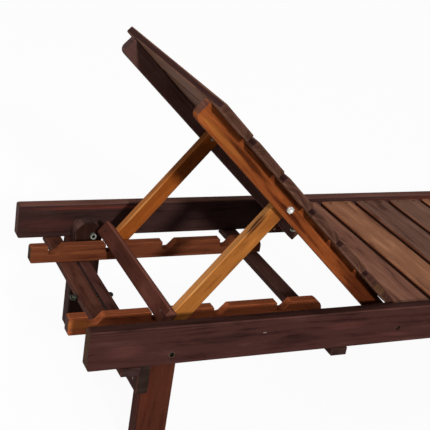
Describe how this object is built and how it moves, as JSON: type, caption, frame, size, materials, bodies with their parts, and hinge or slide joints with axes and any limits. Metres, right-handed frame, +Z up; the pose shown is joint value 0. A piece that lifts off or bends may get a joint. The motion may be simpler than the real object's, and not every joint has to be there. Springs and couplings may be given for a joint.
{
  "type": "sun lounger",
  "caption": "Folding slatted hardwood lounger with a raised backrest held by a prop frame in notched racks, and folding legs.",
  "frame": {"origin": "on the ground under the middle of the lounger", "axes": "+X from the head end to the foot end, +Y to the left side, +Z up"},
  "size_m": [1.95, 0.62, 0.7874],
  "materials": {
    "dark_timber": "oiled, satin",
    "orange_timber": "oiled, satin",
    "slat_timber": "oiled, satin",
    "zinc_steel": "zinc plated",
    "dark_steel": "burnished"
  },
  "bodies": {
    "seat_frame": {"side_rail_left": "dark_timber", "side_rail_right": "dark_timber", "ledger_left": "dark_timber", "ledger_right": "dark_timber", "spacer_block_left": "dark_timber", "spacer_block_right": "dark_timber", "rack_left": "orange_timber", "rack_right": "orange_timber", "head_cross_board": "dark_timber", "rack_cross_board": "dark_timber", "foot_cross_board": "dark_timber", "seat_slat_1": "slat_timber", "seat_slat_2": "slat_timber", "seat_slat_3": "slat_timber", "seat_slat_4": "slat_timber", "seat_slat_5": "slat_timber", "seat_slat_6": "slat_timber", "seat_slat_7": "slat_timber", "seat_slat_8": "slat_timber", "seat_slat_9": "slat_timber", "seat_slat_10": "slat_timber", "seat_slat_11": "slat_timber", "seat_slat_screws": "zinc_steel", "cross_board_screws": "zinc_steel", "ledger_screws": "zinc_steel", "backrest_pivot_bolts": "dark_steel", "backrest_pivot_nuts": "zinc_steel", "leg_pivot_bolts": "zinc_steel", "leg_pivot_washers": "zinc_steel", "leg_pivot_nuts": "zinc_steel"},
    "backrest": {"backrest_rail_left": "dark_timber", "backrest_rail_right": "dark_timber", "backrest_slat_1": "slat_timber", "backrest_slat_2": "slat_timber", "backrest_slat_3": "slat_timber", "backrest_slat_4": "slat_timber", "backrest_slat_5": "slat_timber", "backrest_slat_6": "slat_timber", "backrest_slat_screws": "zinc_steel", "prop_bolts": "zinc_steel", "prop_bolt_nuts": "zinc_steel"},
    "prop_frame": {"prop_left": "orange_timber", "prop_right": "orange_timber", "prop_crossbar": "dark_timber", "prop_crossbar_screws": "zinc_steel"},
    "head_legs": {"head_leg_left": "dark_timber", "head_leg_right": "dark_timber", "head_stretcher": "dark_timber", "head_stretcher_screws": "zinc_steel", "head_lock_bolt": "dark_steel", "head_wing_nut": "zinc_steel"},
    "foot_legs": {"foot_leg_left": "dark_timber", "foot_leg_right": "dark_timber", "foot_stretcher": "dark_timber", "foot_stretcher_screws": "zinc_steel", "foot_lock_bolt": "dark_steel", "foot_wing_nut": "zinc_steel"}
  },
  "joints": [
    {"name": "backrest_hinge", "type": "hinge", "parent": "seat_frame", "child": "backrest", "pos_m": [-0.2645, 0, 0.2885], "axis": [0, 1, 0], "range_deg": [0, 19.5]},
    {"name": "prop_fold", "type": "hinge", "parent": "backrest", "child": "prop_frame", "pos_m": [-0.5471, 0, 0.54805], "axis": [0, 1, 0], "range_deg": [0, 94.34]},
    {"name": "head_legs_fold", "type": "hinge", "parent": "seat_frame", "child": "head_legs", "pos_m": [-0.7992, 0, 0.274], "axis": [0, -1, 0], "range_deg": [0, 90]},
    {"name": "foot_legs_fold", "type": "hinge", "parent": "seat_frame", "child": "foot_legs", "pos_m": [0.7992, 0, 0.274], "axis": [0, 1, 0], "range_deg": [0, 90]}
  ]
}
